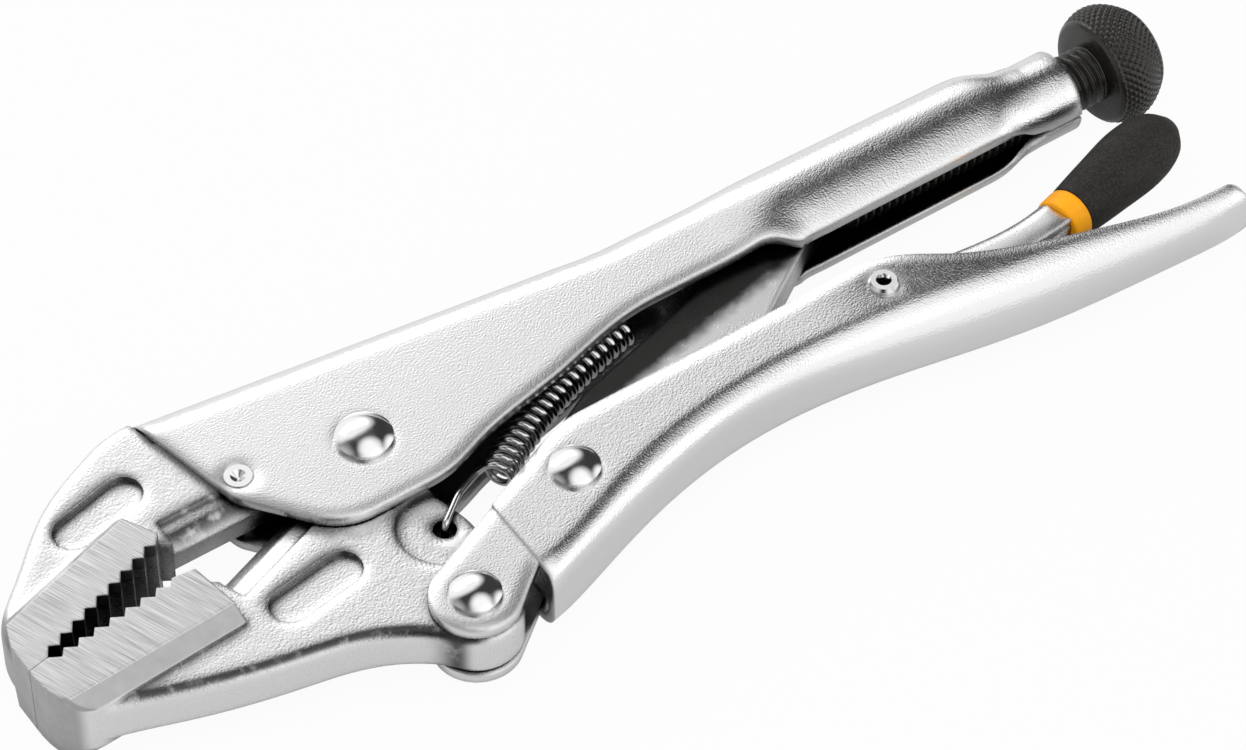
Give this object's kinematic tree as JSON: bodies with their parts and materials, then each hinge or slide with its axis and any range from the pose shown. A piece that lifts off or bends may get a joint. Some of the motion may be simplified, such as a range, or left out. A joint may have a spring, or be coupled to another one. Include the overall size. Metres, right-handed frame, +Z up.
{
  "type": "locking pliers",
  "caption": "Locking pliers with serrated jaws, over-centre toggle link, return spring, knurled adjusting screw and a release lever with a dipped grip.",
  "frame": {"origin": "centre of the bounding box on its lowest plane, the tool lying on its side", "axes": "+X along the adjusting screw from the jaws to the knob, +Y towards the fixed handle's spine, +Z up through the tool's thickness along the pivots"},
  "size_m": [0.2458, 0.0758, 0.023],
  "materials": {
    "plated_sheet": "satin bright plating over fine pebbled sheet",
    "forged_jaw": "plated rough forging, ground nose",
    "forged_link": "plated rough forging",
    "rivet": "polished",
    "orange_dip": "satin dipped vinyl",
    "black_dip": "matt dipped vinyl",
    "black_oxide": "oiled black oxide",
    "spring_wire": "dark oiled wire"
  },
  "bodies": {
    "fixed": {"fixed_handle": "plated_sheet", "upper_jaw": "forged_jaw", "jaw_pivot_rivet": "rivet", "upper_jaw_pin": "rivet", "return_spring": "spring_wire"},
    "lower_jaw": {"lower_jaw": "forged_jaw"},
    "moving_handle": {"moving_handle": "plated_sheet", "handle_rivet": "rivet", "toggle_rivet": "rivet", "release_pin": "rivet"},
    "toggle_link": {"toggle_link": "forged_link"},
    "release_lever": {"release_lever": "plated_sheet", "release_band": "orange_dip", "release_grip": "black_dip"},
    "adjusting_screw": {"adjusting_screw": "black_oxide"},
    "screw_knob": {"screw_knob": "black_oxide"}
  },
  "joints": [
    {"name": "jaw_hinge", "type": "hinge", "parent": "fixed", "child": "lower_jaw", "pos_m": [-0.04955, 0.00981, 0.0115], "axis": [0, 0, 1], "range_deg": [0, 16], "deforming": ["return_spring"]},
    {"name": "handle_hinge", "type": "hinge", "parent": "lower_jaw", "child": "moving_handle", "pos_m": [-0.05265, -0.02969, 0.0115], "axis": [0, 0, 1], "range_deg": [-58, 0]},
    {"name": "link_hinge", "type": "hinge", "parent": "moving_handle", "child": "toggle_link", "pos_m": [-0.02385, -0.01689, 0.0115], "axis": [0, 0, 1], "range_deg": [0, 61.7]},
    {"name": "release_hinge", "type": "hinge", "parent": "moving_handle", "child": "release_lever", "pos_m": [0.04455, -0.01279, 0.0115], "axis": [0, 0, 1], "range_deg": [-5, 0]},
    {"name": "screw_travel", "type": "slide", "parent": "fixed", "child": "adjusting_screw", "axis": [1, 0, 0], "range_m": [0, 0.014]},
    {"name": "knob_turn", "type": "hinge", "parent": "adjusting_screw", "child": "screw_knob", "pos_m": [0.11145, 0.01341, 0.0115], "axis": [1, 0, 0], "range_deg": [0, 2880]}
  ],
  "couplings": [
    {"joint": "handle_hinge", "follows": "jaw_hinge", "ratio": -3.625},
    {"joint": "link_hinge", "follows": "jaw_hinge", "ratio": 3.856},
    {"joint": "knob_turn", "follows": "screw_travel", "rad_per_m": 3590.4}
  ]
}
